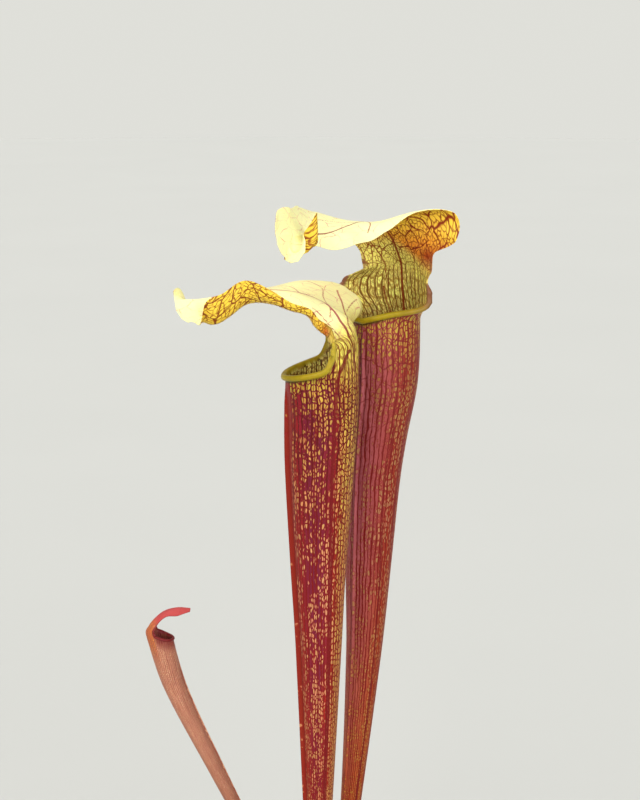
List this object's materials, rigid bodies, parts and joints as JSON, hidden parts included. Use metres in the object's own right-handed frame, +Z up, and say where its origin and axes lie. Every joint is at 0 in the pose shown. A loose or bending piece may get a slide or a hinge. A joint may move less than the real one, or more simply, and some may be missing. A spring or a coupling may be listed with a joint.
{
  "type": "potted trumpet pitcher plant",
  "caption": "Potted trumpet pitcher plant: tall veined crimson tubes with golden, wavy lids and an old small pitcher, in a round plastic pot of peat mix.",
  "frame": {"origin": "centre of the pot's flat underside, on the surface it stands on", "axes": "+Z up; the front pitcher's mouth faces -X; -Y is the side seen in the picture"},
  "size_m": [0.2127, 0.168, 0.6484],
  "materials": {
    "front_leaf": "waxy leaf, crimson with golden areoles, satin",
    "back_leaf": "waxy leaf, crimson with golden areoles, satin",
    "old_leaf": "withered pink-brown leaf, matt",
    "rootstock": "rough brown rhizome with cut leaf bases",
    "peat_mix": "moist peat and perlite, rough",
    "pot_plastic": "terracotta-coloured moulded plastic, satin"
  },
  "bodies": {
    "root": {"pot": "pot_plastic", "potting_mix": "peat_mix", "rootstock": "rootstock", "front_pitcher": "front_leaf", "back_pitcher": "back_leaf", "old_small_pitcher": "old_leaf"}
  },
  "joints": []
}
